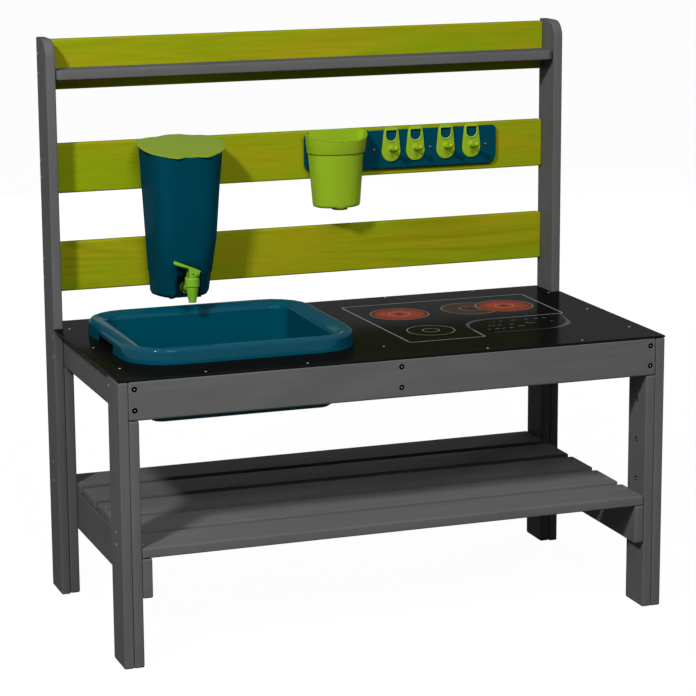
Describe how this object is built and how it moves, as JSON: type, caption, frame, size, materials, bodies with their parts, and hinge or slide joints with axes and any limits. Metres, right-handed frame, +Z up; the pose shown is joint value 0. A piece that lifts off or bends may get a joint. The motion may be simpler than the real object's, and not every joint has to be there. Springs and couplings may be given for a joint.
{
  "type": "mud kitchen",
  "caption": "Children's wooden mud kitchen with a lift-up wash basin, water tank with working lever tap, printed hob, hook rail with hooks and cup, and shelves above and below",
  "frame": {"origin": "on the floor under the middle of the kitchen, halfway between its sides and halfway between its front and back faces", "axes": "+X to the right of a child standing at the front, +Y from front to back, +Z up"},
  "size_m": [1, 0.52, 1.02],
  "materials": {
    "grey_wood": "grey exterior stain on planed pine",
    "lime_wood": "lime-green translucent stain on planed pine",
    "worktop_black": "near-black laminate with a printed hob",
    "basin_teal": "glossy dark teal",
    "satin_teal": "satin dark teal",
    "lime_plastic": "satin lime green",
    "seal_rubber": "pale silicone",
    "screw_steel": "zinc plated"
  },
  "bodies": {
    "frame": {"post_left": "grey_wood", "post_right": "grey_wood", "rear_inner_leg_left": "grey_wood", "rear_inner_leg_right": "grey_wood", "front_leg_left": "grey_wood", "front_leg_right": "grey_wood", "front_inner_leg_left": "grey_wood", "front_inner_leg_right": "grey_wood", "upper_side_rail_left": "grey_wood", "upper_side_rail_right": "grey_wood", "lower_side_rail_left": "grey_wood", "lower_side_rail_right": "grey_wood", "front_apron": "grey_wood", "rear_apron": "grey_wood", "centre_rail": "grey_wood", "shelf_slat_1": "grey_wood", "shelf_slat_2": "grey_wood", "shelf_slat_3": "grey_wood", "shelf_slat_4": "grey_wood", "shelf_slat_5": "grey_wood", "worktop": "worktop_black", "back_rail_lower": "lime_wood", "back_rail_middle": "lime_wood", "back_rail_top": "lime_wood", "top_shelf": "grey_wood", "tank_body": "satin_teal", "tank_screw_1": "screw_steel", "tank_screw_2": "screw_steel", "tap_body": "lime_plastic", "tap_washer": "seal_rubber", "tap_nut": "lime_plastic", "tap_collar": "lime_plastic", "hook_rail": "satin_teal", "hook_rail_screw_1": "screw_steel", "hook_rail_screw_2": "screw_steel", "hook_rail_screw_3": "screw_steel", "hook_rail_screw_4": "screw_steel"},
    "wash_basin": {"basin": "basin_teal"},
    "lid": {"tank_lid": "lime_plastic"},
    "stem": {"tap_stem": "lime_plastic", "tap_seal": "seal_rubber", "tap_pin": "screw_steel"},
    "lever": {"tap_lever": "lime_plastic"},
    "hook_a": {"hook_1": "lime_plastic"},
    "hook_b": {"hook_2": "lime_plastic"},
    "hook_c": {"hook_3": "lime_plastic"},
    "hook_d": {"hook_4": "lime_plastic"},
    "hanging_cup": {"cup": "lime_plastic"}
  },
  "joints": [
    {"name": "basin_tilt", "type": "hinge", "parent": "frame", "child": "wash_basin", "pos_m": [-0.242, 0.199, 0.5], "axis": [-1, 0, 0], "range_deg": [0, 60]},
    {"name": "lid_lift", "type": "slide", "parent": "frame", "child": "lid", "axis": [0, 0, 1], "range_m": [0, 0.04]},
    {"name": "stem_lift", "type": "slide", "parent": "frame", "child": "stem", "axis": [0, 0, 1], "range_m": [0, 0.0027], "stiffness_N_per_m": 150, "springref_m": -0.002},
    {"name": "lever_press", "type": "hinge", "parent": "stem", "child": "lever", "pos_m": [-0.2555, 0.1315, 0.5955], "axis": [0, -1, 0], "range_deg": [0, 25]},
    {"name": "hook_a_lift", "type": "slide", "parent": "frame", "child": "hook_a", "axis": [0, 0, 1], "range_m": [0, 0.02]},
    {"name": "hook_b_lift", "type": "slide", "parent": "frame", "child": "hook_b", "axis": [0, 0, 1], "range_m": [0, 0.02]},
    {"name": "hook_c_lift", "type": "slide", "parent": "frame", "child": "hook_c", "axis": [0, 0, 1], "range_m": [0, 0.02]},
    {"name": "hook_d_lift", "type": "slide", "parent": "frame", "child": "hook_d", "axis": [0, 0, 1], "range_m": [0, 0.02]},
    {"name": "cup_lift", "type": "slide", "parent": "frame", "child": "hanging_cup", "axis": [0, 0, 1], "range_m": [0, 0.04]}
  ],
  "couplings": [
    {"joint": "lever_press", "follows": "stem_lift", "rad_per_m": 161.6}
  ]
}
